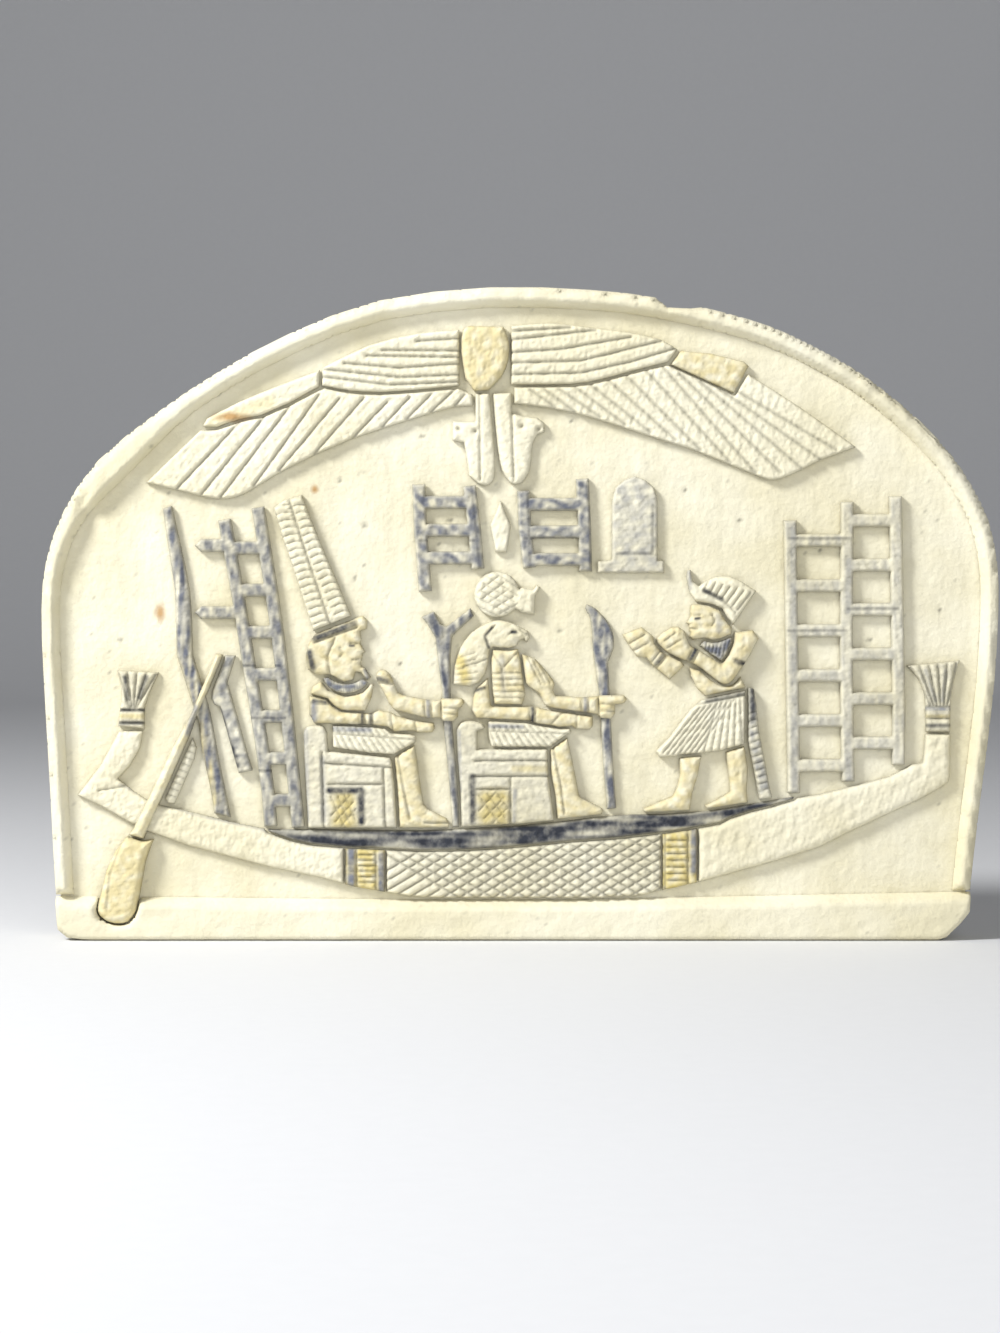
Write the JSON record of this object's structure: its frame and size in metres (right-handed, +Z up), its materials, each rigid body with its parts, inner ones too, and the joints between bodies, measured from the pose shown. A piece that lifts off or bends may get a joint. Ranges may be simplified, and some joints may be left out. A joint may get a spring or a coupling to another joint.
{
  "type": "ceramic relief tablet",
  "caption": "Arched ceramic tablet with a raised rim and ledge, carved in low relief with a boat, seated and standing figures and a winged disc.",
  "frame": {"origin": "centre of the bounding box at the bottom edge, on which the tablet stands", "axes": "+X to the viewer's right along the tablet, carved face towards -Y, +Z up to the crown of the arch"},
  "size_m": [0.1914, 0.0136, 0.1304],
  "materials": {
    "cream_ceramic": "matte",
    "grey_wash": "matte",
    "dark_wash": "matte",
    "yellow_wash": "matte",
    "skin_wash": "matte"
  },
  "bodies": {
    "root": {"base_ledge": "cream_ceramic", "bow_flower": "grey_wash", "cobra_left": "cream_ceramic", "cobra_right": "cream_ceramic", "column_left": "grey_wash", "column_right": "cream_ceramic", "deck": "dark_wash", "falcon_arm_front": "skin_wash", "falcon_arm_rear": "skin_wash", "falcon_head": "yellow_wash", "falcon_kilt": "cream_ceramic", "falcon_legs": "skin_wash", "falcon_sun": "cream_ceramic", "falcon_throne": "yellow_wash", "falcon_torso": "skin_wash", "hull_band_bow": "yellow_wash", "hull_band_stern": "yellow_wash", "hull_bow": "cream_ceramic", "hull_lattice": "cream_ceramic", "hull_stern": "cream_ceramic", "oar_blade": "skin_wash", "oar_post": "grey_wash", "oar_shaft": "cream_ceramic", "panel_left": "grey_wash", "panel_post": "cream_ceramic", "panel_right": "grey_wash", "plaque": "grey_wash", "plumed_arm_front": "skin_wash", "plumed_arm_rear": "skin_wash", "plumed_collar": "grey_wash", "plumed_head": "skin_wash", "plumed_kilt": "cream_ceramic", "plumed_legs": "skin_wash", "plumed_throne": "cream_ceramic", "plumed_torso": "skin_wash", "plumes": "cream_ceramic", "rim": "cream_ceramic", "slab": "cream_ceramic", "staff_middle": "dark_wash", "staff_right": "grey_wash", "standing_arm_far": "skin_wash", "standing_arm_near": "skin_wash", "standing_collar": "grey_wash", "standing_crown": "cream_ceramic", "standing_head": "skin_wash", "standing_kilt": "cream_ceramic", "standing_leg_front": "skin_wash", "standing_leg_rear": "skin_wash", "standing_tail": "grey_wash", "standing_torso": "skin_wash", "steering_rope": "cream_ceramic", "stern_flower": "grey_wash", "sun_disc": "skin_wash", "tiller": "grey_wash", "wing_arm_left": "cream_ceramic", "wing_arm_right": "skin_wash", "wing_covert_left": "cream_ceramic", "wing_covert_right": "cream_ceramic", "wing_feathers_left": "cream_ceramic", "wing_feathers_right": "cream_ceramic"}
  },
  "joints": []
}
